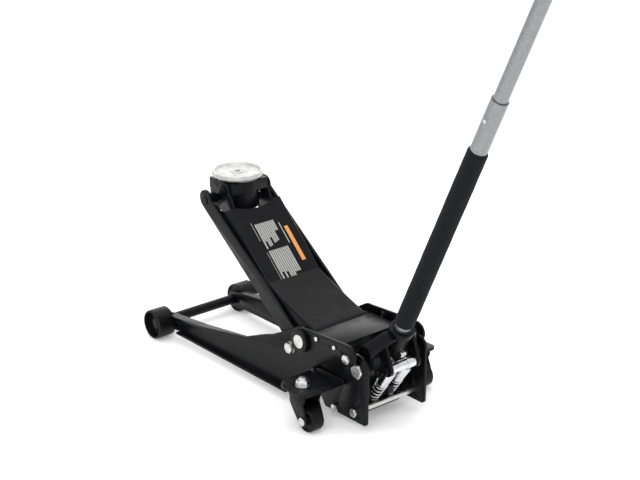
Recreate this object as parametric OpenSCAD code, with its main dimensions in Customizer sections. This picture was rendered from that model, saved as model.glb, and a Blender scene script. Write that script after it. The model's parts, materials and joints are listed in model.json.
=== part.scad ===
// Trolley jack: a wheeled frame, a hydraulic lift arm with a levelled saddle, and a pump handle.
// +X runs from the front wheels to the pump end, +Y to the far side, +Z up, and the floor is at Z = 0.
// Points are counted from the spot on the floor under the front axle, and jack() then moves the
// whole jack so that its bounding box stands centred on the origin.

/* [Frame] */
// Distance between the outer faces of the two side plates
frame_w = 194; // [190:1:200]
// Thickness of the side plates
side_t = 5; // [4:0.5:6]
// Thickness of the housing plates
housing_t = 6; // [5:0.5:6]
// Height of the housing cover's top face
cover_z = 170; // [169:0.5:171]
// Width of the side plates' outward flanges
flange_w = 16; // [10:1:18]

/* [Wheels] */
// Radius of the front wheels
wheel_r = 34; // [33:0.5:34]
// Width of the front wheels
wheel_w = 43; // [36:1:46]
// Radius of the caster wheels
caster_r = 26; // [24:0.5:27]
// Width of the caster wheels
caster_w = 30; // [24:1:34]
// Distance from a caster's kingpin back to its wheel axle
caster_trail = 26; // [22:1:28]

/* [Lift arm] */
// Length of the arm from its pivot to the head pin
arm_len = 395; // [390:1:398]
// Angle of the arm above the horizontal as it stands
arm_angle = 36.9; // [36:0.1:38]
// Thickness of the arm's side plates
arm_t = 5; // [4:0.5:5]
// Radius of the lift arm's pivot pin
pivot_r = 15; // [13:0.5:15]

/* [Saddle] */
// Radius of the saddle
saddle_r = 57; // [50:1:60]
// Height of the saddle's raised rim
saddle_rim = 5; // [3:0.5:6]

/* [Pump] */
// Angle of the pump plungers above the horizontal
plunger_angle = 54; // [53:0.5:55]
// Radius of the pump plungers
plunger_r = 6; // [5:0.25:6]
// Radius of the ram's rod
ram_r = 12; // [10:0.5:12]

/* [Handle] */
// Angle of the handle above the horizontal as it stands
handle_angle = 65.5; // [64:0.5:67]
// Distance from the yoke's pivot to the top of the handle
handle_end = 1215; // [1100:5:1250]
// Radius of the lower handle tube
lower_r = 17.5; // [16.5:0.25:17.5]
// Radius of the upper handle tube
upper_r = 14.5; // [14:0.25:14.5]
// Radius of the foam sleeve
foam_r = 21; // [20:0.5:23]

/* [Hidden] */

$fn = 64;
run = 0.05;                     // radial clearance of every running fit
tiny = 0.01;                    // overshoot of cuts

black = [0.05, 0.05, 0.06];
steel = [0.72, 0.73, 0.75];

// Main points of the side view, as [x, z].
A = [484, 149];                                             // lift arm pivot
B = A + arm_len * [-cos(arm_angle), sin(arm_angle)];        // head pin
link_step = [-29, -24];                                     // from A to D and from B to C
D = A + link_step;                                          // levelling link's frame pivot
C = B + link_step;                                          // levelling link's head pivot
P = [646, 134];                                             // yoke pivot
front = [0, wheel_r];                                       // front axle
tie = [641, 40];                                            // rear tie rod
lug_len = 62;
lug_angle = 17.35;                                          // of the push lugs, forward of straight down
E = A + lug_len * [-sin(lug_angle), -cos(lug_angle)];       // push pin
ram_z = 90;                                                 // height of the ram's axis

side_out = frame_w / 2;
side_in = side_out - side_t;
housing_in = 78;
housing_out = housing_in + housing_t;
arm_out = 74;
arm_in = arm_out - arm_t;
king = [556, 155];                                          // kingpin, seen from above
plate_top = 90;                                             // top of the caster bracket
link_in = 79;
link_out = 85;
saddle_x = 149;
saddle_z = B[1] + 16;                                       // underside of the saddle

// The handle's top end and the front wheels set the jack's length, and so its origin.
end_r = upper_r + 2;                                        // radius of the handle's end cap
x_front = -wheel_r;
x_rear = P[0] + handle_end * cos(handle_angle) + end_r * sin(handle_angle);
x_mid = (x_front + x_rear) / 2;

module jack() translate([-x_mid, 0, 0]) children();
module far_side() children();
module near_side() mirror([0, 1, 0]) children();
module both_sides() { far_side() children(); near_side() children(); }

// A round bar along Y between two heights y0 < y1, on the side-view point p.
module rod_y(p, r, y0, y1) translate([p[0], y1, p[1]]) rotate([90, 0, 0]) cylinder(r = r, h = y1 - y0);
// A hexagon head, measured across its flats, with its corners chamfered at the outer end.
module hex_head(flats, h) intersection() {
    cylinder(r = flats / sqrt(3), h = h, $fn = 6);
    union() {
        cylinder(r = flats, h = h - flats / 12);
        translate([0, 0, h - flats / 12]) cylinder(r1 = flats / sqrt(3), r2 = flats * 0.46, h = flats / 12);
    }
}
module hex_y(p, flats, y0, y1) translate([p[0], y0, p[1]]) rotate([-90, 0, 0]) hex_head(flats, y1 - y0);
// A ring along Y.
module ring_y(p, r, hole, y0, y1) difference() {
    rod_y(p, r, y0, y1);
    rod_y(p, hole, y0 - 1, y1 + 1);
}
// A plate from y0 to y1 whose outline is drawn in the side view.
module plate_y(y0, y1) translate([0, y1, 0]) rotate([90, 0, 0]) linear_extrude(y1 - y0) children();
module disc2(p, r) translate(p) circle(r);

// Outline of a bar with two round ends and straight sides tangent to both.
module bar2(p, rp, q, rq) {
    d = q - p;
    a = atan2(d[1], d[0]);
    t = acos((rp - rq) / norm(d));
    function on(c, r, w) = c + r * [cos(w), sin(w)];
    disc2(p, rp);
    disc2(q, rq);
    polygon([on(p, rp, a + t), on(q, rq, a + t), on(q, rq, a - t), on(p, rp, a - t)]);
}

// ---------- Frame ----------

side_top = [[0, 54], [30, 58.5], [145, 70.5], [294, 92]];
flange_t = 5;
base_z = 20;                                                // lower edge of the side plates

module side_outline() {
    polygon(concat(side_top, [
        [352, 117], [387, 130], [445, 160], [461, 170], [484, 178], [505, 180], [621, 187], [636, 186],
        [612, 152], [509, 93], [442, base_z], [50, base_z], [0, 14]
    ]));
    disc2(front, 20);
    disc2(A, 30);
    disc2([630, 164], 22);
}

// Strip under the front part of the top edge, which carries the tapering upper flange.
module top_strip() polygon(concat(
    [for (i = [1 : 3]) side_top[i]],
    [for (i = [3 : -1 : 1]) side_top[i] - [0, flange_t]]
));

module side_plate() {
    f = side_out + flange_w;
    difference() {
        union() {
            plate_y(side_in, side_out) side_outline();
            translate([53, side_in, base_z]) cube([395, flange_w + side_t, flange_t]);
            intersection() {
                plate_y(side_in, f) top_strip();
                linear_extrude(120) polygon([[30, side_in], [294, side_in], [294, side_out], [145, f], [30, f]]);
            }
        }
        rod_y(front, 8, 80, 130);
        rod_y(A, pivot_r, 80, 130);
        rod_y(D, 8, 80, 130);
        rod_y([628, 158], 6, 80, 130);
        for (x = [532, 588]) rod_y([x, 169], 3, 80, 130);
    }
}

module housing_plate() difference() {
    plate_y(housing_in, housing_out) {
        polygon([[512, 62], [545, 17], [664, 17], [672, 25], [672, 143], [647, 167.5], [512, 167.5]]);
        disc2([664, 25], 8);
        disc2([647, 143], 25);
    }
    rod_y(P, 8, 70, 90);
    rod_y(tie, 6, 70, 90);
    rod_y([628, 158], 6, 70, 90);
    rod_y([578, 25], 6, 70, 90);
}

// The cover's front edge stops short of the arm, which swings past it.
module housing_cover() color(black) jack() {
    translate([506, -housing_in, cover_z - 5]) cube([82, 2 * housing_in, 5]);
    translate([583, -housing_in, cover_z - 20]) cube([5, 2 * housing_in, 15]);
}

module bracket_outline() {
    translate([508, housing_out]) square([60, 74]);
    translate([560, housing_out]) square([38, 89]);
    translate([538, 158]) circle(30);
    translate([583, 173]) circle(15);
    translate([538, 148]) square([45, 40]);
}

module caster_bracket() difference() {
    union() {
        translate([0, 0, plate_top - 6]) linear_extrude(6) bracket_outline();
        translate([512, housing_out, plate_top]) cube([95, 5, 10]);
    }
    translate([king[0], king[1], 0]) cylinder(r = 8, h = 200);
}

wheel_in = 100;
wheel_out = wheel_in + wheel_w;
hub_drop = 13;                                              // of the front wheels' hubs below their rims
axle_end = wheel_out - hub_drop + 4;
module front_axle() color(black) jack() {
    rod_y(front, 8, -axle_end, axle_end);
    rod_y(front, 11.5, -side_in, side_in);
}
module front_axle_clips() color(steel) jack() both_sides()
    ring_y(front, 12, 8, axle_end - 3.6, axle_end - 1);

module rear_tie_rod() color(steel) jack() rod_y(tie, 6, -97, 97);
module rear_tie_rod_nuts() color(steel) jack() both_sides() difference() {
    hex_y(tie, 17, housing_out, 94);
    rod_y(tie, 6, 80, 100);
}

// Button-head screws through the side plates' top edge.
module cover_screws() color(steel) jack() both_sides() for (x = [532, 588]) {
    rod_y([x, 169], 3, housing_out, side_out);
    rod_y([x, 169], 5, side_out, side_out + 3);
}

module frame_bolts() color(steel) jack() both_sides() {
    rod_y([628, 158], 6, housing_in, side_out);
    hex_y([628, 158], 19, side_out, side_out + 8);
    rod_y([578, 25], 6, 62, housing_out);
    hex_y([578, 25], 18, housing_out, housing_out + 7);
}

module plate_spacers() color(black) jack() both_sides() {
    ring_y([628, 158], 12, 6, housing_out, side_in);
    for (x = [532, 588]) ring_y([x, 169], 9, 3, housing_out, side_in);
}

module lift_pivot_pin() color(steel) jack() rod_y(A, pivot_r, -107, 107);

// Outer collars on the side plates, and inner ones that keep the arm in the middle.
module pivot_collars() color(black) jack() both_sides() {
    ring_y(A, 24.8, pivot_r, side_out, 105.5);
    ring_y(A, 16.3, pivot_r, arm_out + 0.4, side_in);
}

module link_bolts() color(steel) jack() both_sides() {
    rod_y(D, 8, 75.5, 103);
    rod_y(D, 11, 75, link_in - 0.4);
    ring_y(D, 12, 8, link_out + 0.4, side_in);
    ring_y(D, 12.7, 8, side_out, 103);
    hex_y(D, 21.5, 103, 112);
}

module yoke_pivot_bolts() color(steel) jack() both_sides() {
    rod_y(P, 8, 54, housing_out);
    hex_y(P, 29, housing_out, side_in - 0.4);
}

module kingpin_bolts() color(steel) jack() both_sides() translate([king[0], king[1], 0]) {
    translate([0, 0, 71]) cylinder(r = 12, h = 6.6, $fn = 6);
    translate([0, 0, 77.6]) cylinder(r = 8, h = 31);
    difference() {
        union() {
            translate([0, 0, plate_top]) cylinder(r = 15, h = 2.5);
            translate([0, 0, plate_top + 2.5]) hex_head(24, 11.5);
        }
        cylinder(r = 8, h = 200);
    }
}

module side_plate_near() color(black) jack() near_side() side_plate();
module side_plate_far() color(black) jack() far_side() side_plate();
module housing_plate_near() color(black) jack() near_side() housing_plate();
module housing_plate_far() color(black) jack() far_side() housing_plate();
module caster_bracket_near() color(black) jack() near_side() caster_bracket();
module caster_bracket_far() color(black) jack() far_side() caster_bracket();

// ---------- Wheels and casters ----------

// A wheel's cross-section to one side of its axle: a rim round a recess, and a hub that stands lower.
module wheel_section(r, w, hole, hub, rim, recess, hub_drop, edge) difference() {
    union() {
        translate([hole, edge]) square([r - hole, w - 2 * edge]);
        translate([hole, 0]) square([r - edge - hole, w]);
        for (z = [edge, w - edge]) translate([r - edge, z]) circle(edge);
    }
    translate([hub, w - recess]) square([r - rim - hub, recess + 1]);
    translate([hub, -1]) square([r - rim - hub, 4]);
    translate([0, w - hub_drop]) square([hub + tiny, hub_drop + 1]);
}

module front_wheel() translate([front[0], wheel_in, front[1]]) rotate([-90, 0, 0])
    rotate_extrude() wheel_section(wheel_r, wheel_w, 8 + run, 13, 4.5, 14, hub_drop, 2);

module front_wheel_near() color([0.1, 0.1, 0.1]) jack() near_side() front_wheel();
module front_wheel_far() color([0.1, 0.1, 0.1]) jack() far_side() front_wheel();

caster_axle = [king[0] + caster_trail, caster_r];
leg_in = 19;                                                // fork legs, from the caster's middle
leg_out = 23;
fork_top = plate_top - 6.4;

module caster_fork() difference() {
    union() {
        for (s = [-1, 1]) {
            y0 = king[1] + (s > 0 ? leg_in : -leg_out);
            plate_y(y0, y0 + leg_out - leg_in) {
                bar2([king[0] + 5, 64], 19, caster_axle, 13);
                polygon([[539, 79], [587, 79], [587, 72], [578, 50], [560, 50], [543, 66]]);
            }
        }
        translate([539, king[1] - leg_out, 78]) cube([48, 2 * leg_out, 4]);
        translate([king[0], king[1], 78]) cylinder(r = 17, h = fork_top - 78);
    }
    translate([king[0], king[1], 60]) cylinder(r = 8 + run, h = 40);
    rod_y(caster_axle, 6, 100, 200);
}

module caster_axle_bolt() {
    rod_y(caster_axle, 6, king[1] - leg_out - 2, king[1] + leg_out + 2);
    for (s = [-1, 1]) ring_y(caster_axle, 9, 6,
        king[1] + (s > 0 ? leg_out : -leg_out - 3), king[1] + (s > 0 ? leg_out + 3 : -leg_out));
}

module caster_wheel() translate([caster_axle[0], king[1] - caster_w / 2, caster_axle[1]]) rotate([-90, 0, 0])
    rotate_extrude() wheel_section(caster_r, caster_w, 6 + run, 10, 5, 3, 1, 3);

module caster_fork_near() color(black) jack() near_side() caster_fork();
module caster_fork_far() color(black) jack() far_side() caster_fork();
module caster_axle_near() color(steel) jack() near_side() caster_axle_bolt();
module caster_axle_far() color(steel) jack() far_side() caster_axle_bolt();
module caster_wheel_near() color([0.1, 0.1, 0.1]) jack() near_side() caster_wheel();
module caster_wheel_far() color([0.1, 0.1, 0.1]) jack() far_side() caster_wheel();

// ---------- Lift arm ----------

// Top of the arm's cover from the head end to the pivot: a straight slope, a bend, a flatter slope and
// a turn round the pivot tube.
slope_top = [209, 356];
slope_low = [345, 227];
bend_mid = [392, 204];
flat_end = [469, 178.4];
turn_r = 23.5;
function bend(a, m, b, n) = [for (i = [0 : n]) let (t = i / n)
    (1 - t) * (1 - t) * a + 2 * t * (1 - t) * m + t * t * b];
cover_line = concat([slope_top], bend(slope_low, bend_mid, flat_end, 8),
    [for (w = [72 : -9 : 45]) A + turn_r * [cos(w), sin(w)]]);

// The same line moved down, square to its slope.
sheet = 5;
fold_r = 7;                                                 // outside radius of the cover's folded edges
function normal(p, q) = let (d = q - p) [-d[1], d[0]] / norm(d);
function lowered(line, by) = [for (i = [0 : len(line) - 1])
    line[i] - by * normal(line[max(i - 1, 0)], line[min(i + 1, len(line) - 1)])];

// A point of the arm, counted back from the head pin along the arm and square to it.
function on_arm(s, up) = B + s * [cos(arm_angle), -sin(arm_angle)] + up * [sin(arm_angle), cos(arm_angle)];

nose = 12.5;                                                // the plates' front ends, which clear the link pin
module arm_side_outline() {
    polygon(concat(lowered(cover_line, fold_r), [A + [0, -21.5], A + [-8, -20], [330, 172], on_arm(50, -36),
        on_arm(nose, -44), on_arm(nose, -30), on_arm(32, -27), on_arm(41, -20)]));
    disc2(A, turn_r - fold_r - 0.5);
    intersection() {
        disc2(A, 22);
        translate(A - [30, 30]) square([60, 36]);
    }
}

// Each side plate carries an inner cheek, set closer in, that reaches on to the head pin.
cheek_in = 49;
cheek_out = 54;
pin_eye = 18;                                               // radius of the cheeks' ends
module arm_cheek_outline() {
    disc2(B, pin_eye);
    polygon([on_arm(2, pin_eye - 0.6), on_arm(48, -6.5), on_arm(110, -15), on_arm(110, -45), on_arm(60, -47),
        on_arm(nose, -45), on_arm(nose, -15), on_arm(2, 0.6 - pin_eye)]);
}

module arm_side_plates() color(black) jack() both_sides() difference() {
    union() {
        plate_y(arm_in, arm_out) arm_side_outline();
        plate_y(cheek_in, cheek_out) arm_cheek_outline();
        plate_y(cheek_in + 1, arm_out - 1)
            polygon([on_arm(70, -12), on_arm(76, -12), on_arm(76, -34), on_arm(70, -34)]);
    }
    rod_y(A, pivot_r + run, 60, 80);
    rod_y(B, 9, 40, 80);
}

// The cover is one sheet, folded down along its two long edges. Its cross-section is two rows of
// [y, height] points, one for each face of the sheet, from the near edge to the far one.
function arc(c, r, a0, a1) = [for (i = [0 : 5]) let (w = a0 + (a1 - a0) * i / 5) c + r * [cos(w), sin(w)]];
flat_steps = 28;
fold_y = arm_out - fold_r;
function face_row(r) = concat(
    arc([-fold_y, -fold_r], r, 180, 90),
    [for (i = [1 : flat_steps - 1]) [fold_y * (2 * i / flat_steps - 1), r - fold_r]],
    arc([fold_y, -fold_r], r, 90, 0)
);
outer_row = face_row(fold_r);
inner_row = face_row(fold_r - sheet);

// The sheet's upper edge is cut out in a shallow arc, which clears the saddle's head.
cut_half = 54;
cut_mid = 12;
cut_r = (cut_half * cut_half + cut_mid * cut_mid) / (2 * cut_mid);
function cut_depth(y) = abs(y) < cut_half ? sqrt(cut_r * cut_r - y * y) - cut_r + cut_mid : 0;
slope_dir = (slope_low - slope_top) / norm(slope_low - slope_top);

module cover_sheet() {
    m = len(cover_line);
    n = len(outer_row);
    function tip(i) = normal(cover_line[max(i - 1, 0)], cover_line[min(i + 1, m - 1)]);
    function base(i, y) = cover_line[i] + (i == 0 ? cut_depth(y) * slope_dir : [0, 0]);
    function at(i, q, y) = let (p = base(i, y) + q[1] * tip(i)) [p[0], q[0], p[1]];
    points = concat(
        [for (i = [0 : m - 1]) for (k = [0 : n - 1]) at(i, outer_row[k], outer_row[k][0])],
        [for (i = [0 : m - 1]) for (k = [0 : n - 1]) at(i, inner_row[k], outer_row[k][0])]
    );
    function out(i, k) = i * n + k;
    function in(i, k) = (m + i) * n + k;
    polyhedron(points, concat(
        [for (i = [0 : m - 2]) for (k = [0 : n - 2]) [out(i, k), out(i, k + 1), out(i + 1, k + 1), out(i + 1, k)]],
        [for (i = [0 : m - 2]) for (k = [0 : n - 2]) [in(i, k), in(i + 1, k), in(i + 1, k + 1), in(i, k + 1)]],
        [for (k = [0 : n - 2]) [out(0, k), in(0, k), in(0, k + 1), out(0, k + 1)]],
        [for (k = [0 : n - 2]) [out(m - 1, k), out(m - 1, k + 1), in(m - 1, k + 1), in(m - 1, k)]],
        [for (i = [0 : m - 2]) for (k = [0, n - 1]) k == 0
            ? [out(i, k), out(i + 1, k), in(i + 1, k), in(i, k)]
            : [out(i, k), in(i, k), in(i + 1, k), out(i + 1, k)]]
    ));
}
module arm_cover() color(black) jack() cover_sheet();

tube_r = turn_r - sheet - 0.4;
tube_end = 2.4;                                             // of its stepped-down ends, which clear the folds
module arm_pivot_tube() color(black) jack() difference() {
    union() {
        rod_y(A, tube_r, tube_end - arm_in, arm_in - tube_end);
        rod_y(A, tube_r - tube_end, -arm_in, arm_in);
    }
    rod_y(A, pivot_r + run, -arm_out, arm_out);
}

module push_lugs() color(black) jack() difference() {
    both_sides() plate_y(24, 36) bar2(A, 17, E, 15);
    rod_y(A, tube_r, -50, 50);
    rod_y(E, 8, -50, 50);
}
module push_pin() color(steel) jack() rod_y(E, 8, -40, 40);
module head_pin() color(steel) jack() {
    rod_y(B, 9, -cheek_out, cheek_out);
    both_sides() rod_y(B, 10.4, cheek_out, cheek_out + 3);
}

// ---------- Saddle head and levelling links ----------

// A drum between the arm's cheeks with a square front, a flat pad under the saddle and a hollow underneath.
head_y = 48.4;
head_top = saddle_z - 0.5;
drum_r = 47;
drum_z = saddle_z - 68;                                     // lower edge of the drum
head_front = 112;
module saddle_head() color(black) jack() difference() {
    union() {
        plate_y(-head_y, head_y) bar2(B, 15, C, 14);
        translate([110, -head_y, head_top - 24]) cube([83, 2 * head_y, 24]);
        translate([head_front, -head_y, drum_z]) cube([saddle_x - head_front, 2 * head_y, head_top - drum_z]);
        translate([saddle_x, 0, drum_z]) cylinder(r1 = drum_r - 4, r2 = drum_r, h = 4);
        translate([saddle_x, 0, drum_z + 4]) cylinder(r = drum_r, h = head_top - drum_z - 4);
    }
    rod_y(B, 9 + run, -80, 80);
    rod_y(C, 7, -80, 80);
    translate([saddle_x, 0, 300]) cylinder(r = 8 + run, h = 200);
    translate([saddle_x, 0, drum_z - 1]) cylinder(r = 14, h = 39);
    translate([saddle_x, 0, drum_z - 1]) cylinder(r = drum_r - 8, h = 13);
}

module link_pins() color(steel) jack() both_sides() {
    rod_y(C, 7, 20, link_out + 1);
    rod_y(C, 9, arm_out + 1, link_in - 0.4);
    rod_y(C, 9, link_out + 0.4, link_out + 1.6);
}

module levelling_link() difference() {
    plate_y(link_in, link_out) {
        bar2(C, 15.5, D, 20.5);
        disc2(C + [2, 5], 19);
    }
    rod_y(C, 7 + run, 70, 90);
    rod_y(D, 8 + run, 70, 90);
}
module levelling_link_near() color(black) jack() near_side() levelling_link();
module levelling_link_far() color(black) jack() far_side() levelling_link();

// Cast dish with a raised rim, a centre boss and a post that turns in the head.
saddle_h = 16;
module saddle_section() {
    dish = saddle_h - saddle_rim;
    square([saddle_r - 10, dish]);
    polygon([[0, 0], [saddle_r - 10, 0], [saddle_r, 7], [saddle_r, saddle_h], [saddle_r - 6, saddle_h],
        [saddle_r - 10, dish], [0, dish]]);
    translate([0, dish - 1]) square([14, 3]);
    translate([0, -34]) square([8, 35]);
}
module saddle() color([0.8, 0.8, 0.78]) jack() difference() {
    translate([saddle_x, 0, saddle_z]) rotate_extrude() saddle_section();
    translate([saddle_x, 0, saddle_z + 4]) cylinder(r = 6, h = 20);
}
module saddle_clip() color(steel) jack() translate([saddle_x, 0, saddle_z - 33]) difference() {
    cylinder(r = 12, h = 2);
    translate([0, 0, -1]) cylinder(r = 8, h = 4);
}

// ---------- Hydraulic unit ----------

bore_r = 16;
bore_front = 544;
bore_end = 622;
cylinder_r = 20;
cylinder_end = bore_end + 3;
block_front = 575;
block_rear = 632;
block_low = 24;
block_top = 122;
roller_rest = [684, 135];
roller_r = 10.5;
collar_r = 11.7;                                            // of the roller's far end
roller_gap = 2.6;                                           // at rest; it closes over the stroke
plunger_lift = [cos(plunger_angle), sin(plunger_angle)];
plunger_top = roller_rest - (roller_r + roller_gap) * plunger_lift;
plunger_y = 21.5;
cap_h = 45;                                                 // height of the plungers' caps
cap_r = 12;
face = 40;                                                  // from the plungers' tops down to the block
barrel_top = 52;                                            // down to the barrels they slide in
pocket = 95;                                                // and down to the foot of the springs
pocket_r = 14;
spring_r = 13.2;
barrel_r = 9.5;

// Places +Z along the plungers, counted from their tops, at side y.
module on_plunger(y) translate([plunger_top[0], y, plunger_top[1]]) rotate([0, 90 - plunger_angle, 0]) children();
module rod_x(z, r, x0, x1) translate([x0, 0, z]) rotate([0, 90, 0]) cylinder(r = r, h = x1 - x0);

module ram_cylinder() color(black) jack() difference() {
    union() {
        rod_x(ram_z, cylinder_r, bore_front, cylinder_end);
        rod_x(ram_z, 35, bore_front, block_front);
    }
    rod_x(ram_z, bore_r + run, bore_front - 1, bore_end);
}
module ram_gland_nut() color(steel) jack() difference() {
    rod_x(ram_z, 30, bore_front - 8, bore_front);
    rod_x(ram_z, ram_r + run, 500, 600);
    for (a = [0 : 60 : 300]) translate([bore_front - 8, 0, ram_z]) rotate([a, 0, 0])
        translate([-1, -4, 25]) cube([6, 8, 10]);
}

stem_r = 5;
stem_foot = 66;
// The block's body, its foot, the lug that guides the release valve's stem, and the springs' pockets.
module block_body() difference() {
    union() {
        translate([block_front, -45, block_low]) cube([block_rear - block_front, 90, block_top - block_low]);
        translate([567, -housing_in, 18]) cube([22, 2 * housing_in, 16]);
        translate([block_rear - 8, -8, stem_foot - 6]) cube([30, 16, 18]);
        both_sides() rod_y([596, 62], 5, 44, 64);
    }
    on_plunger(0) translate([-100, -60, -face]) cube([200, 120, 80]);
    rod_x(ram_z, cylinder_r, 500, cylinder_end);
    for (s = [-1, 1]) on_plunger(s * plunger_y) translate([0, 0, -pocket]) cylinder(r = pocket_r, h = 80);
    translate([P[0], 0, stem_foot - 2]) cylinder(r = stem_r + run, h = 80);
    both_sides() rod_y([578, 25], 6, 62, 90);
}
module pump_block() color(black) jack() difference() {
    union() {
        block_body();
        for (s = [-1, 1]) on_plunger(s * plunger_y) translate([0, 0, -pocket - 2])
            cylinder(r = barrel_r, h = pocket + 2 - barrel_top);
    }
    for (s = [-1, 1]) on_plunger(s * plunger_y) translate([0, 0, -pocket - 4]) cylinder(r = plunger_r + run, h = 90);
}

module ram_piston() color(steel) jack() {
    rod_x(ram_z, ram_r, E[0] + 12, 569);
    rod_x(ram_z, bore_r, 563, 569);
}

// The push pin rides up and down in the crosshead's slot while the arm swings.
module ram_crosshead() color(black) jack() difference() {
    union() {
        translate([E[0] - 15, -20, 55]) cube([28, 40, 62]);
        translate([E[0] - 10, -61, 52]) cube([18, 122, 12]);
    }
    plate_y(-30, 30) bar2([E[0], 85.5], 9.4, [E[0], 99.5], 9.3999);
    rod_x(ram_z, ram_r, E[0] + 12, 600);
}

spring_y = 54;
module return_springs() color(steel) jack() both_sides() difference() {
    translate([0, spring_y, 0]) rod_x(58, 6.5, E[0] + 8, 588);
    translate([0, spring_y, 0]) rod_x(58, 4.5, 400, 700);
}

module plunger(s) on_plunger(s * plunger_y) {
    translate([0, 0, -72]) cylinder(r = plunger_r, h = 72);
    difference() {
        union() {
            translate([0, 0, -cap_h]) cylinder(r = cap_r, h = cap_h);
            translate([0, 0, -cap_h]) cylinder(r = spring_r, h = 2.5);
        }
        translate([0, 0, -cap_h - 1]) cylinder(r = barrel_r + 0.5, h = cap_h - 7);
    }
}
module plunger_near() color(steel) jack() plunger(-1);
module plunger_far() color(steel) jack() plunger(1);

module plunger_springs() color(steel) jack() for (s = [-1, 1]) on_plunger(s * plunger_y)
    translate([0, 0, -pocket]) difference() {
        cylinder(r = spring_r, h = pocket - cap_h);
        translate([0, 0, -1]) cylinder(r = spring_r - 2.4, h = pocket);
    }

// The valve's stem carries a ball seat, which stands for a universal joint at the yoke's pivot.
ball_r = 8;
module release_valve_stem() color(steel) jack() translate([P[0], 0, 0]) difference() {
    union() {
        translate([0, 0, stem_foot]) cylinder(r = stem_r, h = P[1] - 12 - stem_foot);
        intersection() {
            translate([0, 0, P[1]]) sphere(r = 13);
            translate([-20, -20, P[1] - 13]) cube([40, 40, 10]);
        }
    }
    translate([0, 0, P[1]]) sphere(r = ball_r + 0.4);
}

// ---------- Yoke and handle ----------

// Places +Z along the handle, counted from the yoke's pivot.
module on_handle() translate([P[0], 0, P[1]]) rotate([0, 90 - handle_angle, 0]) children();
function handle_point(t) = P + t * [cos(handle_angle), sin(handle_angle)];
socket_r = 22;

// Two flat legs run from the socket's collar out and down to a bend, and then straight to the pivot.
collar_at = 80;
leg_bend = [643, 164];
module yoke_fork() color(black) jack() difference() {
    union() {
        both_sides() {
            hull() {
                rod_y(P, 18, 56, 64, $fn = 32);
                rod_y(leg_bend, 17, 56, 64, $fn = 32);
            }
            hull() {
                rod_y(leg_bend, 17, 56, 64, $fn = 32);
                rod_y(handle_point(collar_at), 14, 21, 29, $fn = 32);
            }
            rod_y(P, 17, 56, housing_in - 0.5);
            hull() {
                rod_y(roller_rest, 14, 34, 41, $fn = 32);
                rod_y(handle_point(52), 12, 34, 41, $fn = 32);
            }
        }
    }
    rod_y(P, 8 + run, -90, 90);
    rod_y(roller_rest, 6, -60, 60);
    on_handle() {
        cylinder(r = socket_r, h = 120);
        translate([0, 0, collar_at]) cylinder(r = 50, h = 40);
    }
}

module roller_bolt() color(steel) jack() {
    rod_y(roller_rest, 6, -41, 41);
    both_sides() hex_y(roller_rest, 16, 41, 47);
}

module yoke_roller() color(steel) jack() difference() {
    union() {
        rod_y(roller_rest, roller_r, -33.5, 33.5);
        rod_y(roller_rest, collar_r, 9, 33.5);
    }
    rod_y(roller_rest, 6 + run, -50, 50);
}

module handle_socket() color(black) jack() on_handle() difference() {
    union() {
        translate([0, 0, 27]) cylinder(r = socket_r, h = 64);
        translate([0, 0, collar_at]) cylinder(r = 25.5, h = 11);
    }
    cylinder(r = lower_r + run, h = 200);
    translate([0, 0, 41]) rotate([0, 90, 0]) cylinder(r = 4, h = 40);
}

// Bolt that holds the handle in its socket, on the rear side near the foot.
module socket_bolt() color(steel) jack() on_handle() translate([0, 0, 41]) rotate([0, 90, 0]) {
    translate([0, 0, socket_r]) hex_head(14, 8);
    translate([0, 0, lower_r + 0.3]) cylinder(r = 4, h = socket_r - lower_r);
}

tube_wall = 2.7;
module handle_drive() color(steel) jack() on_handle() {
    sphere(r = ball_r);
    cylinder(r = 5, h = 40);
    translate([0, 0, 36]) cylinder(r = lower_r - tube_wall, h = 16);
}

lower_end = 669;
button_at = lower_end - 45;
module button_hole(r) translate([0, 0, button_at]) rotate([90, 0, 0]) cylinder(r = r, h = 40);

module lower_tube() color(steel) jack() on_handle() difference() {
    translate([0, 0, 32]) cylinder(r = lower_r, h = lower_end - 32);
    cylinder(r = lower_r - tube_wall, h = lower_end + 1);
    button_hole(4.2);
}
module foam_sleeve() color([0.12, 0.12, 0.13]) jack() on_handle() difference() {
    translate([0, 0, 104]) cylinder(r = foam_r, h = 449);
    cylinder(r = lower_r, h = 700);
}
module upper_tube() color(steel) jack() on_handle() difference() {
    translate([0, 0, 560]) cylinder(r = upper_r, h = handle_end - 6 - 560);
    cylinder(r = upper_r - 2, h = handle_end + 10);
    button_hole(4.2);
}
module end_cap() color(black) jack() on_handle() difference() {
    translate([0, 0, handle_end - 30]) cylinder(r = end_r, h = 30);
    cylinder(r = upper_r, h = handle_end - 6);
}
module snap_button() color(steel) jack() on_handle() translate([0, 0, button_at]) rotate([90, 0, 0]) {
    translate([0, 0, 8]) cylinder(r = 4, h = lower_r + 1.5 - 8);
    translate([0, 0, 7]) cylinder(r = 6, h = 3);
}

side_plate_near();
side_plate_far();
housing_plate_near();
housing_plate_far();
housing_cover();
caster_bracket_near();
caster_bracket_far();
front_axle();
front_axle_clips();
rear_tie_rod();
rear_tie_rod_nuts();
cover_screws();
frame_bolts();
plate_spacers();
lift_pivot_pin();
pivot_collars();
link_bolts();
yoke_pivot_bolts();
kingpin_bolts();
ram_cylinder();
ram_gland_nut();
pump_block();
front_wheel_near();
front_wheel_far();
caster_fork_near();
caster_fork_far();
caster_axle_near();
caster_axle_far();
caster_wheel_near();
caster_wheel_far();
arm_side_plates();
arm_cover();
arm_pivot_tube();
push_lugs();
push_pin();
head_pin();
saddle_head();
link_pins();
levelling_link_near();
levelling_link_far();
saddle();
saddle_clip();
ram_piston();
ram_crosshead();
return_springs();
plunger_near();
plunger_far();
plunger_springs();
release_valve_stem();
yoke_fork();
roller_bolt();
yoke_roller();
handle_socket();
socket_bolt();
handle_drive();
lower_tube();
foam_sleeve();
upper_tube();
end_cap();
snap_button();
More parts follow.
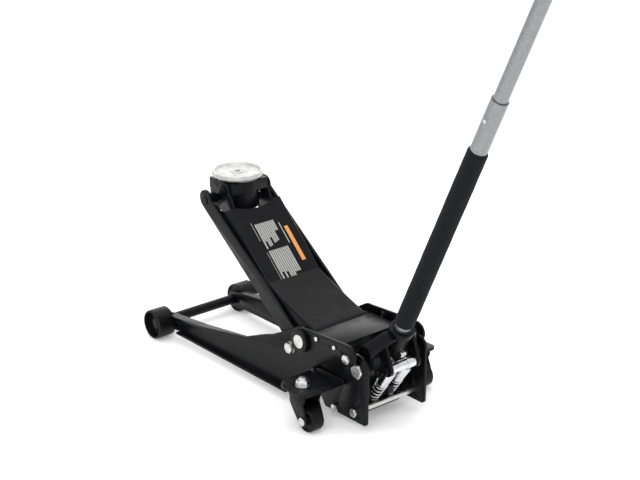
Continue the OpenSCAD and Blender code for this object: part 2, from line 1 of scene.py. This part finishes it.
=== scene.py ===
"""The looks of a hydraulic floor jack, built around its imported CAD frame."""
import json
import math

import bmesh
import bpy
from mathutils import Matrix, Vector

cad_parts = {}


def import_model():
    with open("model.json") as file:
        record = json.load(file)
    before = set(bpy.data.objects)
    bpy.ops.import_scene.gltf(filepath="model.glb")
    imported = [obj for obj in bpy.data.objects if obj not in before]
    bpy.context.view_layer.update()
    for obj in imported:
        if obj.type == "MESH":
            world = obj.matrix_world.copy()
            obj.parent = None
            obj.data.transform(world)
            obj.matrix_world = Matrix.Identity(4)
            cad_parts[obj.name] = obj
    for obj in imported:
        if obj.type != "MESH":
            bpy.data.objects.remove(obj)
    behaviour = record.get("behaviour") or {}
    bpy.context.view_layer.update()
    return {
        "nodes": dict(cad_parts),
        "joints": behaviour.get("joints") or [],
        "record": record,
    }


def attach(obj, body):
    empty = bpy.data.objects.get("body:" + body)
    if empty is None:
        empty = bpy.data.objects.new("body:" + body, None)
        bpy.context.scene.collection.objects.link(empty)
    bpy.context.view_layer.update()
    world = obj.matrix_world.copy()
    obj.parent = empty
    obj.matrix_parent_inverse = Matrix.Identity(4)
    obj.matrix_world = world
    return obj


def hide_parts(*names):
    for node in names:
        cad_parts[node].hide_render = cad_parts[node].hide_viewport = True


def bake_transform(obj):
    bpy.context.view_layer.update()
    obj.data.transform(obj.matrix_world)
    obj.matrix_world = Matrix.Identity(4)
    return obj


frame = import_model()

nodes = frame["nodes"]
MM = 0.001
NODE_BODY = {n: b for b, members in frame["record"]["behaviour"]["bodies"].items() for n in members}
NODE_SLOT = {s["node"]: s["material_slot"] for s in frame["record"]["subparts"]}
JOINT_AT = {j["name"]: Vector(j["pos_m"]) / MM for j in frame["joints"] if "pos_m" in j}
SIDES = (("near", -1), ("far", 1))


# ---------- Measures, in mm ----------

# The side view counts X from the front axle, and the frame's origin stands in the middle of its length.
YOKE_PIVOT_X = 646
X_MID = YOKE_PIVOT_X - JOINT_AT["pump"].x


def side_point(joint):
    """Where a joint's axis stands in the side view, as X and Z."""
    return JOINT_AT[joint].x + X_MID, JOINT_AT[joint].z


YOKE_PIVOT = side_point("pump")
ARM_PIVOT = side_point("lift")
HEAD_PIN = side_point("head_level")
LINK_PIN = (HEAD_PIN[0] - 29, HEAD_PIN[1] - 24)
ARM_ANGLE = math.atan2(HEAD_PIN[1] - ARM_PIVOT[1], ARM_PIVOT[0] - HEAD_PIN[0])
HANDLE_ANGLE = math.radians(65.5)
KING_Y = JOINT_AT["caster_far_swivel"].y
ROLLER = side_point("roller_spin")
ROLLER_TO_TOP = 13.1                                          # from its axis to the plungers' tops
PLUNGER_ANGLE = math.radians(54)
PLUNGER_TOP = (ROLLER[0] - ROLLER_TO_TOP * math.cos(PLUNGER_ANGLE),
               ROLLER[1] - ROLLER_TO_TOP * math.sin(PLUNGER_ANGLE))
PLUNGER_Y = 21.5


def at(x, y, z):
    """A point of the side view, in metres in the shared frame."""
    return Vector((x - X_MID, y, z)) * MM


def on_plunger(t, y):
    """A point on the line of a plunger, counted up from its top."""
    return at(PLUNGER_TOP[0] + t * math.cos(PLUNGER_ANGLE), y, PLUNGER_TOP[1] + t * math.sin(PLUNGER_ANGLE))


def on_handle(t):
    """A point on the handle's axis, counted up from the yoke's pivot."""
    return at(YOKE_PIVOT[0] + t * math.cos(HANDLE_ANGLE), 0, YOKE_PIVOT[1] + t * math.sin(HANDLE_ANGLE))


def on_arm(along, up):
    """A point of the side view counted back from the head pin along the arm, and square to it."""
    c, s = math.cos(ARM_ANGLE), math.sin(ARM_ANGLE)
    return HEAD_PIN[0] + along * c + up * s, HEAD_PIN[1] - along * s + up * c


# ---------- Small helpers ----------

def new_object(name, bm, material):
    """Turns a bmesh into a smooth-shaded object with one material."""
    mesh = bpy.data.meshes.new(name)
    bm.normal_update()
    bm.to_mesh(mesh)
    bm.free()
    obj = bpy.data.objects.new(name, mesh)
    bpy.context.scene.collection.objects.link(obj)
    mesh.materials.append(material)
    return obj


def shade(obj, angle=35):
    """Smooth shading that keeps edges sharper than the angle."""
    bm = bmesh.new()
    bm.from_mesh(obj.data)
    limit = math.radians(angle)
    for face in bm.faces:
        face.smooth = True
    for edge in bm.edges:
        edge.smooth = len(edge.link_faces) == 2 and edge.calc_face_angle(0) < limit
    bm.to_mesh(obj.data)
    bm.free()
    return obj


def place(obj, node_or_body, replaces=()):
    """Rides the piece on the node's body, and hides the CAD nodes it replaces."""
    body = NODE_BODY.get(node_or_body, node_or_body)
    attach(obj, body)
    if replaces:
        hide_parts(*replaces)
    return obj


# ---------- Materials ----------

class Tree:
    """A short way to write a material's node tree."""

    def __init__(self, name, color=(0.8, 0.8, 0.8), metallic=0.0, roughness=0.5):
        self.material = bpy.data.materials.new(name)
        self.material.use_nodes = True
        self.tree = self.material.node_tree
        self.shader = self.tree.nodes["Principled BSDF"]
        self.shader.inputs["Base Color"].default_value = (*color, 1)
        self.shader.inputs["Metallic"].default_value = metallic
        self.shader.inputs["Roughness"].default_value = roughness
        self.place = self.node("ShaderNodeTexCoord").outputs["Object"]

    def node(self, kind, **inputs):
        made = self.tree.nodes.new(kind)
        for key, value in inputs.items():
            made.inputs[key.replace("_", " ")].default_value = value
        return made

    def link(self, a, b):
        self.tree.links.new(a, b)

    def noise(self, scale, detail):
        made = self.node("ShaderNodeTexNoise", Scale=scale, Detail=detail, Roughness=0.5)
        self.link(self.place, made.inputs["Vector"])
        return made.outputs["Fac"]

    def remap(self, value, low, high, out_low, out_high):
        made = self.node("ShaderNodeMapRange")
        for key, number in (("From Min", low), ("From Max", high), ("To Min", out_low), ("To Max", out_high)):
            made.inputs[key].default_value = number
        self.link(value, made.inputs["Value"])
        return made.outputs["Result"]

    def ramp(self, value, stops):
        made = self.node("ShaderNodeValToRGB")
        elements = made.color_ramp.elements
        while len(elements) < len(stops):
            elements.new(0.5)
        for element, (at, color) in zip(elements, stops):
            element.position = at
            element.color = (*color, 1)
        self.link(value, made.inputs["Fac"])
        return made.outputs["Color"]

    def color(self, value):
        self.link(value, self.shader.inputs["Base Color"])

    def rough(self, value):
        self.link(value, self.shader.inputs["Roughness"])

    def bump(self, height, distance, strength=1.0):
        made = self.node("ShaderNodeBump", Strength=strength, Distance=distance)
        self.link(height, made.inputs["Height"])
        previous = self.shader.inputs["Normal"].links
        if previous:
            self.link(previous[0].from_socket, made.inputs["Normal"])
        self.link(made.outputs["Normal"], self.shader.inputs["Normal"])


def paint(name, tone, roughness, specular=0.3, peel=0.00012):
    """Black powder coat: slight orange peel, faint dust and varied gloss."""
    t = Tree(name, roughness=roughness)
    t.shader.inputs["Specular IOR Level"].default_value = specular
    cloud = t.noise(9, 4)
    t.color(t.ramp(cloud, [(0.3, [c * 0.75 for c in tone]), (0.7, [c * 1.35 for c in tone])]))
    t.rough(t.remap(t.noise(38, 5), 0.3, 0.7, roughness - 0.06, roughness + 0.10))
    t.bump(t.noise(520, 2), peel, 0.5)
    return t.material


def foam_rubber(name, tone):
    """Closed-cell foam: matte, with a fine skin of broken cells and soft mottling."""
    t = Tree(name, roughness=0.92)
    t.shader.inputs["Specular IOR Level"].default_value = 0.12
    t.shader.inputs["Sheen Weight"].default_value = 0.03
    t.shader.inputs["Sheen Roughness"].default_value = 0.6
    t.color(t.ramp(t.noise(340, 5), [(0.34, [c * 0.55 for c in tone]), (0.68, [c * 1.5 for c in tone])]))
    t.bump(t.noise(900, 4), 0.0004, 0.7)
    t.bump(t.noise(120, 3), 0.0005, 0.4)
    return t.material


def casting(name, tone, roughness):
    """A plated iron casting: grainy skin, cloudy plating and darker pits."""
    t = Tree(name, metallic=0.55, roughness=roughness)
    t.color(t.ramp(t.noise(55, 6), [(0.30, [c * 0.72 for c in tone]), (0.62, tone)]))
    t.rough(t.remap(t.noise(160, 4), 0.3, 0.7, roughness - 0.08, roughness + 0.14))
    t.bump(t.noise(240, 4), 0.0004, 0.55)
    return t.material


def zinc(name, tone, roughness):
    """Zinc plated steel: cloudy plating over fine grain."""
    t = Tree(name, metallic=1.0, roughness=roughness)
    t.color(t.ramp(t.noise(160, 4), [(0.3, [c * 0.82 for c in tone]), (0.72, tone)]))
    t.rough(t.remap(t.noise(420, 3), 0.3, 0.7, roughness - 0.07, roughness + 0.1))
    t.bump(t.noise(1500, 2), 0.00005, 0.4)
    return t.material


MATERIALS = {
    "black_paint": paint("black_paint", (0.0034, 0.0036, 0.0044), 0.30, specular=0.13),
    "zinc": zinc("zinc_plate", (0.64, 0.64, 0.63), 0.28),
    "ground_steel": zinc("ground_steel", (0.74, 0.74, 0.75), 0.20),
    "handle_steel": zinc("handle_steel", (0.29, 0.295, 0.305), 0.30),
    "saddle_casting": casting("saddle_casting", (0.57, 0.57, 0.56), 0.44),
    "spring_steel": zinc("spring_steel", (0.75, 0.75, 0.76), 0.30),
    "wheel": paint("wheel_black", (0.0034, 0.0034, 0.0038), 0.40, specular=0.14),
    "foam": foam_rubber("foam_rubber", (0.0065, 0.0070, 0.0085)),
    "cap_plastic": paint("cap_plastic", (0.010, 0.010, 0.011), 0.5, peel=0.00005),
}


# ---------- CAD nodes with softened edges ----------

# Plated parts that were painted black with what they hold.
PAINTED_OVER = ("head_pin", "front_axle_clips", "link_pins", "roller_bolt", "release_valve_stem")


def clean_copy(node, name):
    """A copy of a CAD node's mesh with its triangles joined back into flat faces."""
    bm = bmesh.new()
    bm.from_mesh(nodes[node].data)
    bmesh.ops.remove_doubles(bm, verts=bm.verts, dist=1e-6)
    bmesh.ops.dissolve_limit(bm, angle_limit=math.radians(0.6), verts=bm.verts, edges=bm.edges)
    return new_object(name, bm, MATERIALS["black_paint" if node in PAINTED_OVER else NODE_SLOT[node]])


def soften(node, width_mm):
    """Stands in for a CAD node, with every sharp edge rounded as a painted or machined edge is."""
    obj = clean_copy(node, "soft_" + node)
    bevel = obj.modifiers.new("edge", "BEVEL")
    bevel.width = width_mm * MM
    bevel.segments = 2
    bevel.limit_method = "ANGLE"
    bevel.angle_limit = math.radians(40)
    bevel.use_clamp_overlap = True
    bevel.miter_outer = "MITER_ARC"
    bpy.context.view_layer.update()
    bpy.context.view_layer.objects.active = obj
    obj.select_set(True)
    bpy.ops.object.modifier_apply(modifier="edge")
    obj.select_set(False)
    shade(obj)
    return place(obj, node, replaces=(node,))


for name, obj in nodes.items():
    obj.data.materials.clear()
    obj.data.materials.append(MATERIALS["black_paint" if name in PAINTED_OVER else NODE_SLOT[name]])
    shade(obj)

SOFT_EDGES = {
    "side_plate_near": 1.0, "side_plate_far": 1.0, "housing_plate_near": 1.2, "housing_plate_far": 1.2,
    "housing_cover": 0.8, "caster_bracket_near": 1.2, "caster_bracket_far": 1.2, "caster_fork_near": 1.0,
    "caster_fork_far": 1.0, "levelling_link_near": 1.0, "levelling_link_far": 1.0, "arm_side_plates": 1.0,
    "pump_block": 1.5, "saddle_head": 1.5, "pivot_collars": 1.0, "yoke_pivot_bolts": 0.5,
    "link_bolts": 0.5, "frame_bolts": 0.4, "rear_tie_rod_nuts": 0.4, "kingpin_bolts": 0.4,
    "lift_pivot_pin": 1.2, "handle_socket": 0.8, "caster_axle_near": 1.0, "caster_axle_far": 1.0,
    "roller_bolt": 0.4, "yoke_roller": 0.8, "socket_bolt": 0.4, "push_lugs": 1.0, "ram_crosshead": 1.0,
    "ram_gland_nut": 0.8, "cover_screws": 0.9, "plunger_near": 1.2, "plunger_far": 1.2,
    "saddle": 1.2, "front_wheel_near": 1.0, "front_wheel_far": 1.0, "caster_wheel_near": 1.0,
    "caster_wheel_far": 1.0, "end_cap": 1.5, "release_valve_stem": 0.5, "ram_cylinder": 1.0,
}
for node, width in SOFT_EDGES.items():
    soften(node, width)


# ---------- Turned, flat and coiled shapes ----------

def lathe(name, start, end, profile, material, steps=48, angle=40):
    """Turns a closed profile of (along, radius) points, in mm, round the line from start towards end."""
    axis = (Vector(end) - Vector(start)).normalized()
    turn = axis.to_track_quat("Z", "Y").to_matrix()
    bm = bmesh.new()
    rings = []
    for along, radius in profile:
        ring = []
        for k in range(steps):
            w = 2 * math.pi * k / steps
            p = Vector((radius * math.cos(w), radius * math.sin(w), along)) * MM
            ring.append(bm.verts.new(turn @ p + Vector(start)))
        rings.append(ring)
    for a, b in zip(rings, rings[1:] + rings[:1]):
        for k in range(steps):
            bm.faces.new((a[k], a[(k + 1) % steps], b[(k + 1) % steps], b[k]))
    bmesh.ops.recalc_face_normals(bm, faces=bm.faces)
    return shade(new_object(name, bm, material), angle)


def slab(name, outline, y0, y1, body):
    """A black plate with straight edges: an outline in the side view, from side y0 to y1, in mm."""
    bm = bmesh.new()
    rings = [[bm.verts.new(at(x, y, z)) for x, z in outline] for y in (y0, y1)]
    bm.faces.new(rings[0])
    bm.faces.new(list(reversed(rings[1])))
    for i in range(len(outline)):
        j = (i + 1) % len(outline)
        bm.faces.new((rings[0][i], rings[0][j], rings[1][j], rings[1][i]))
    bmesh.ops.recalc_face_normals(bm, faces=bm.faces)
    place(shade(new_object(name, bm, MATERIALS["black_paint"])), body)


FLAT_TURNS = 0.8                                              # of a spring that lie flat at each end


def coil(name, start, end, radius, wire, turns, material, sides=8, steps=20):
    """A round-wire spring between two points, with its end turns lying flat."""
    axis = Vector(end) - Vector(start)
    length = axis.length
    turn = axis.to_track_quat("Z", "Y").to_matrix()
    total = int(turns * steps)
    rings = []
    bm = bmesh.new()

    def height(t):
        flat = FLAT_TURNS / turns
        inner = min(max((t - flat) / (1 - 2 * flat), 0), 1)
        low = min(t / flat, 1) * wire
        high = max((t - 1 + flat) / flat, 0) * wire
        return wire / 2 + low + inner * (length - wire - 2 * wire) + high

    def point(t):
        a = 2 * math.pi * turns * t
        return Vector((radius * math.cos(a), radius * math.sin(a), height(t)))

    for i in range(total + 1):
        t = i / total
        here = point(t)
        ahead = (point(min(t + 1e-3, 1)) - point(max(t - 1e-3, 0))).normalized()
        out = Vector((here.x, here.y, 0)).normalized()
        up = ahead.cross(out).normalized()
        ring = []
        for k in range(sides):
            w = 2 * math.pi * k / sides
            p = here + (out * math.cos(w) + up * math.sin(w)) * wire / 2
            ring.append(bm.verts.new(turn @ p + Vector(start)))
        rings.append(ring)
    for a, b in zip(rings, rings[1:]):
        for k in range(sides):
            bm.faces.new((a[k], a[(k + 1) % sides], b[(k + 1) % sides], b[k]))
    bm.faces.new(list(reversed(rings[0])))
    bm.faces.new(rings[-1])
    return shade(new_object(name, bm, material), 60)


# ---------- Springs ----------

# Wound springs under the plungers' caps, and the barrels inside them.
SPRING_FOOT = -94.8                                           # along the plungers, from their tops
SPRING_CAP = -45.2
BARREL_FOOT = -94
for side, s in SIDES:
    y = s * PLUNGER_Y
    foot, cap = on_plunger(SPRING_FOOT, y), on_plunger(SPRING_CAP, y)
    spring = coil(f"plunger_spring_{side}", foot, cap, radius=11.7 * MM, wire=3.0 * MM, turns=5.5,
                  material=MATERIALS["spring_steel"])
    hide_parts("plunger_springs")
    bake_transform(spring)
    barrel = lathe(f"pump_barrel_{side}", on_plunger(BARREL_FOOT, y), on_plunger(0, y),
                   [(0, 9.4), (0, 9.8), (41, 9.8), (42.3, 9.0), (42.3, 7), (41, 7), (41, 9.4)],
                   MATERIALS["black_paint"])
    place(barrel, "frame")

# Return springs beside the ram, from the pump block to the crosshead's arms.
RETURN_FOOT = 588
RETURN_ARM = 473.5
RETURN_Y = 54
RETURN_Z = 58
for side, s in SIDES:
    foot, arm = at(RETURN_FOOT, s * RETURN_Y, RETURN_Z), at(RETURN_ARM, s * RETURN_Y, RETURN_Z)
    spring = coil(f"return_spring_{side}", foot, arm, radius=5.5 * MM, wire=2.0 * MM, turns=34,
                  material=MATERIALS["spring_steel"], sides=6, steps=14)
    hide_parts("return_springs")
    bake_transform(spring)


# ---------- Handle grip ----------

def grip_profile(start, end, inner, outer, steps=90):
    """A foam tube that swells and thins a little, with rounded ends and a snug bore."""
    points = [(start + 1.5, inner), (start, inner + 1.0)]
    for i in range(steps + 1):
        t = i / steps
        along = start + 0.6 + t * (end - start - 1.2)
        edge = min(along - start, end - along)
        round_off = 2.6 * max(0, 1 - edge / 5) ** 2
        wave = 0.10 * math.sin(along / 7.3) + 0.12 * math.sin(along / 23 + 1)
        points.append((along, outer - 0.35 + wave - round_off))
    return points + [(end, inner + 1.0), (end - 1.5, inner)]


grip = lathe("foam_grip", on_handle(0), on_handle(100), grip_profile(104, 553, 17.52, 21.0),
             MATERIALS["foam"], steps=64, angle=60)
place(grip, "handle", replaces=("foam_sleeve",))


# ---------- Small parts of the looks ----------

for side, s in SIDES:
    cover = lathe(f"link_pin_cover_{side}", at(LINK_PIN[0], s * 85.3, LINK_PIN[1]),
                  at(LINK_PIN[0], s * 95, LINK_PIN[1]),
                  [(0, 9.2), (0, 10.4), (0.9, 10.4), (1.9, 9.4), (1.9, 0.2), (1.7, 0.2), (1.7, 9.2)],
                  MATERIALS["black_paint"])
    place(cover, "head")
    sleeve = lathe(f"link_pin_sleeve_{side}", at(LINK_PIN[0], s * 55, LINK_PIN[1]),
                   at(LINK_PIN[0], s * 68, LINK_PIN[1]),
                   [(0, 7.2), (0, 11.4), (0.8, 12.2), (12.2, 12.2), (13, 11.4), (13, 7.2)],
                   MATERIALS["black_paint"])
    place(sleeve, "head")


# Plates that deepen the inner cheeks under the saddle's head, and a web between each caster's fork legs.
GUSSET = [on_arm(along, up) for along, up in
          ((25, -43), (66, -44), (66, -55), (58, -60), (33, -60), (27, -57), (25, -54))]
FORK_WEB = [(545.5, 78), (548, 78), (549.2, 56.4), (555.2, 35), (553, 34.2), (546.5, 56)]
for side, s in SIDES:
    slab(f"arm_gusset_{side}", GUSSET, s * 49.6, s * 53.4, "lift_arm")
    slab(f"fork_web_{side}", FORK_WEB, s * (KING_Y - 22.5), s * (KING_Y + 18.8), f"caster_{side}")


def printed(name, rows, lift, material):
    """Thin printed bars on the arm cover's upper slope: rows of (from, to, y low, y high) in mm."""
    tip, bend = Vector((209, 0, 356)), Vector((345, 0, 227))
    down = (bend - tip).normalized()
    out = Vector((-down.z, 0, down.x))
    bm = bmesh.new()
    for s0, s1, y0, y1 in rows:
        corners = [(s0, y0), (s1, y0), (s1, y1), (s0, y1)]
        points = [tip + down * a + out * h + Vector((0, y, 0))
                  for h in (lift * 0.2, lift) for a, y in corners]
        v = [bm.verts.new(at(*p)) for p in points]
        bm.faces.new(v[4:8])
        for i in range(4):
            j = (i + 1) % 4
            bm.faces.new((v[i], v[j], v[j + 4], v[i + 4]))
    bmesh.ops.recalc_face_normals(bm, faces=bm.faces)
    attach(new_object(name, bm, material), "lift_arm")


def ink(name, tone):
    """Printing ink with fine gaps."""
    t = Tree(name, roughness=0.45)
    t.color(t.ramp(t.noise(900, 3), [(0.36, [c * 0.55 for c in tone]), (0.6, tone)]))
    return t.material


BAR_SHARE = 0.74                                              # of a row's pitch that its bar takes up


def text_block(s0, s1, y0, y1, shares):
    """Even bars side by side, each as long as its share of the block."""
    pitch = (y1 - y0) / len(shares)
    return [(s0, s0 + (s1 - s0) * share, y0 + i * pitch, y0 + (i + BAR_SHARE) * pitch)
            for i, share in enumerate(shares)]


grey_rows = text_block(50, 112, -31, 22, (1.0, 0.72, 0.95, 0.92, 0.62, 0.85, 0.83, 0.8, 0.42, 0.42))
grey_rows += text_block(118, 196, -31, 24, (0.98, 0.70, 0.95, 0.72, 1.0, 0.98, 0.95, 0.80, 0.80, 0.80))
grey_rows += [(44, 90, -38, -36.8), (120, 206, -37, -36), (60, 112, 30, 32.5)]
LABEL_LIFT = 0.25                                             # of the print above the paint
printed("label_bars", grey_rows, LABEL_LIFT, ink("label_grey", (0.42, 0.42, 0.40)))
printed("label_band", [(72, 160, 39, 49)], LABEL_LIFT, ink("label_orange", (0.80, 0.33, 0.08)))


# ---------- Camera, floor and light ----------

def camera():
    data = bpy.data.cameras.new("camera")
    data.lens = 87.3
    data.clip_end = 50
    obj = bpy.data.objects.new("camera", data)
    obj.location = (2.1776, -1.976, 1.495)
    obj.rotation_euler = (math.radians(90 - 20.91), 0, math.radians(49.5))
    bpy.context.scene.collection.objects.link(obj)
    bpy.context.scene.camera = obj


def floor():
    bm = bmesh.new()
    bmesh.ops.create_grid(bm, x_segments=1, y_segments=1, size=30)
    t = Tree("floor", (0.9, 0.9, 0.9), roughness=0.9)
    t.shader.inputs["Emission Color"].default_value = (1, 1, 1, 1)
    t.shader.inputs["Emission Strength"].default_value = 0.2
    obj = new_object("floor", bm, t.material)
    obj.location.z = -0.0005


def area(name, place_at, aim, size, power):
    data = bpy.data.lights.new(name, "AREA")
    data.shape = "RECTANGLE"
    data.size, data.size_y = size
    data.energy = power
    obj = bpy.data.objects.new(name, data)
    obj.location = place_at
    obj.rotation_euler = (Vector(aim) - Vector(place_at)).to_track_quat("-Z", "Y").to_euler()
    bpy.context.scene.collection.objects.link(obj)


def world(strength):
    w = bpy.data.worlds.new("studio")
    w.use_nodes = True
    background = w.node_tree.nodes["Background"]
    background.inputs["Color"].default_value = (1, 1, 1, 1)
    background.inputs["Strength"].default_value = strength
    bpy.context.scene.world = w


bpy.context.scene.view_settings.view_transform = "Standard"
camera()
floor()
world(0.95)
area("key", (1.6, -2.6, 3.4), (0, 0, 0.2), (2.4, 1.6), 45)
area("top", (-0.4, 0.3, 3.6), (0, 0, 0.2), (2.6, 2.6), 45)
area("rim", (-2.8, 2.6, 1.8), (0, 0, 0.3), (3.4, 2.4), 34)
